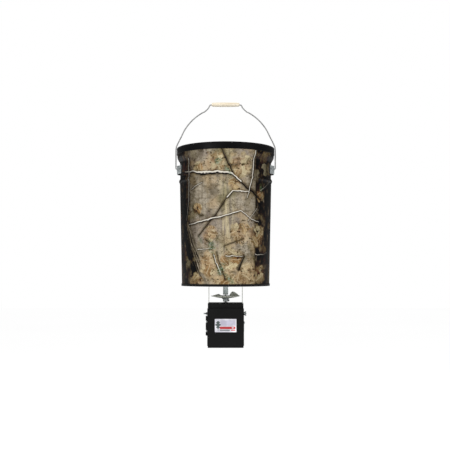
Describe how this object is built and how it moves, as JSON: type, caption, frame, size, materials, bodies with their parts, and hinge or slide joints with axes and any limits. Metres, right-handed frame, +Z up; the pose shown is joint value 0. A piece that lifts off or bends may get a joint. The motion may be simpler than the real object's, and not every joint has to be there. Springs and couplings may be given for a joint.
{
  "type": "hanging game feeder",
  "caption": "Lidded steel pail on a wire bail with a wooden grip; a drop tube feeds a motor-driven spinner plate above a control box with a hinged door.",
  "frame": {"origin": "centre of the wooden grip, where a hook or rope holds the hanging feeder", "axes": "+Z up, +X to the right as the control box door is faced, the door faces -Y, the bail lies in the XZ plane"},
  "size_m": [0.3186, 0.3078, 0.767],
  "materials": {
    "camo_paint": "printed camouflage on steel, satin",
    "black_paint": "black powder coat",
    "lid_black": "satin black enamel",
    "zinc_wire": "drawn zinc-plated wire",
    "zinc_plate": "bright zinc plate",
    "galvanised": "dull galvanised sheet",
    "bright_steel": "bright steel",
    "pale_wood": "turned pale hardwood, waxed",
    "pale_tube": "pale blue-grey plastic tube",
    "black_rubber": "matt black rubber",
    "dark_plastic": "moulded dark plastic",
    "battery_plastic": "moulded dark grey battery case",
    "printed_label": "pale vinyl label with plain bars",
    "screen_glass": "grey-green display window",
    "button_rubber": "grey rubber key",
    "test_button": "red rubber key",
    "red_wire": "red wire insulation",
    "black_wire": "black wire insulation"
  },
  "bodies": {
    "bail": {"bail_wire": "zinc_wire"},
    "grip": {"bail_grip": "pale_wood"},
    "hopper": {"bucket_wall": "camo_paint", "bucket_bottom": "black_paint", "lid": "lid_black", "lid_gasket": "black_rubber", "right_ear": "zinc_plate", "left_ear": "zinc_plate", "right_ear_rivet_rear": "bright_steel", "right_ear_rivet_front": "bright_steel", "left_ear_rivet_rear": "bright_steel", "left_ear_rivet_front": "bright_steel", "drop_tube": "pale_tube", "tube_nut": "zinc_plate", "right_strap": "galvanised", "left_strap": "galvanised", "right_strap_bolt": "zinc_plate", "left_strap_bolt": "zinc_plate", "right_strap_nut": "zinc_plate", "left_strap_nut": "zinc_plate", "housing": "black_paint", "right_clamp_bolt": "zinc_plate", "left_clamp_bolt": "zinc_plate", "motor_pad": "black_rubber", "motor": "bright_steel", "motor_end_cap": "dark_plastic", "motor_screw_left": "zinc_plate", "motor_screw_right": "zinc_plate", "shaft_bush": "dark_plastic", "housing_hinge_leaf": "black_paint", "hinge_pin": "zinc_plate", "latch_rivet": "bright_steel", "timer_panel": "galvanised", "timer_case": "dark_plastic", "timer_screen": "screen_glass", "battery": "battery_plastic", "battery_strap": "galvanised", "battery_tab_negative": "bright_steel", "battery_tab_positive": "bright_steel", "lead_red": "red_wire", "lead_black": "black_wire", "motor_lead": "black_wire"},
    "spinner": {"motor_shaft": "bright_steel", "spinner_hub": "zinc_plate", "set_screw": "dark_plastic", "spinner_plate": "galvanised"},
    "door": {"door": "black_paint", "door_gasket": "black_rubber", "door_label": "printed_label", "door_hinge_leaf": "black_paint", "latch_stud": "bright_steel"},
    "latch": {"latch_hook": "zinc_plate"},
    "left_wing_nut": {"left_wing_nut": "zinc_plate"},
    "right_wing_nut": {"right_wing_nut": "zinc_plate"},
    "button_set": {"button_set": "button_rubber"},
    "button_down": {"button_down": "button_rubber"},
    "button_up": {"button_up": "button_rubber"},
    "button_test": {"button_test": "test_button"}
  },
  "joints": [
    {"name": "bail_pivot", "type": "hinge", "parent": "bail", "child": "hopper", "pos_m": [0, 0, -0.2066], "axis": [1, 0, 0], "range_deg": [-125, 125]},
    {"name": "grip_spin", "type": "hinge", "parent": "bail", "child": "grip", "pos_m": [0, 0, 0], "axis": [1, 0, 0], "continuous": true},
    {"name": "spinner_spin", "type": "hinge", "parent": "hopper", "child": "spinner", "pos_m": [0, 0, -0.6], "axis": [0, 0, 1], "continuous": true},
    {"name": "door_hinge", "type": "hinge", "parent": "hopper", "child": "door", "pos_m": [-0.0583, -0.047, -0.695], "axis": [0, 0, -1], "range_deg": [0, 110]},
    {"name": "latch_swing", "type": "hinge", "parent": "hopper", "child": "latch", "pos_m": [0.0568, -0.022, -0.685], "axis": [-1, 0, 0], "range_deg": [0, 90]},
    {"name": "left_wing_nut_turn", "type": "hinge", "parent": "hopper", "child": "left_wing_nut", "pos_m": [-0.0599, 0, -0.659], "axis": [1, 0, 0], "continuous": true},
    {"name": "right_wing_nut_turn", "type": "hinge", "parent": "hopper", "child": "right_wing_nut", "pos_m": [0.0599, 0, -0.659], "axis": [1, 0, 0], "continuous": true},
    {"name": "button_set_press", "type": "slide", "parent": "hopper", "child": "button_set", "axis": [0, 1, 0], "range_m": [0, 0.0012], "stiffness_N_per_m": 400},
    {"name": "button_down_press", "type": "slide", "parent": "hopper", "child": "button_down", "axis": [0, 1, 0], "range_m": [0, 0.0012], "stiffness_N_per_m": 400},
    {"name": "button_up_press", "type": "slide", "parent": "hopper", "child": "button_up", "axis": [0, 1, 0], "range_m": [0, 0.0012], "stiffness_N_per_m": 400},
    {"name": "button_test_press", "type": "slide", "parent": "hopper", "child": "button_test", "axis": [0, 1, 0], "range_m": [0, 0.0012], "stiffness_N_per_m": 400}
  ]
}
